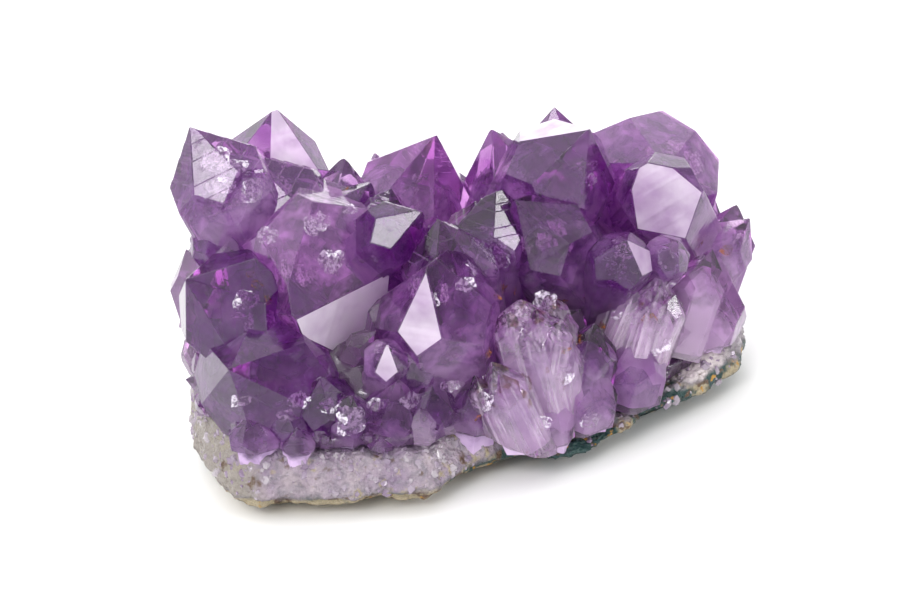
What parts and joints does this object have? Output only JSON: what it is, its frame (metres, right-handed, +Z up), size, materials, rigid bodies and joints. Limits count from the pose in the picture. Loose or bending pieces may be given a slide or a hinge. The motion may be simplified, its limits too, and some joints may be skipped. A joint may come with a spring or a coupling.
{
  "type": "amethyst cluster",
  "caption": "Cluster of clear violet six-sided quartz crystals grown together on a slab of pale matrix, resting on its flat foot.",
  "frame": {"origin": "centre of the bounding box's footprint, on the surface that the matrix rests on", "axes": "+X along the cluster, from its left end to its right end as the picture shows it; +Y from its front to its back; +Z up"},
  "size_m": [0.1168, 0.0728, 0.0675],
  "materials": {
    "amethyst": "clear to cloudy violet quartz with natural crystal faces",
    "matrix_rock": "rough milky quartz and chalcedony with a green and ochre weathered rind"
  },
  "bodies": {
    "root": {"amethyst_crystals": "amethyst", "matrix": "matrix_rock"}
  },
  "joints": []
}
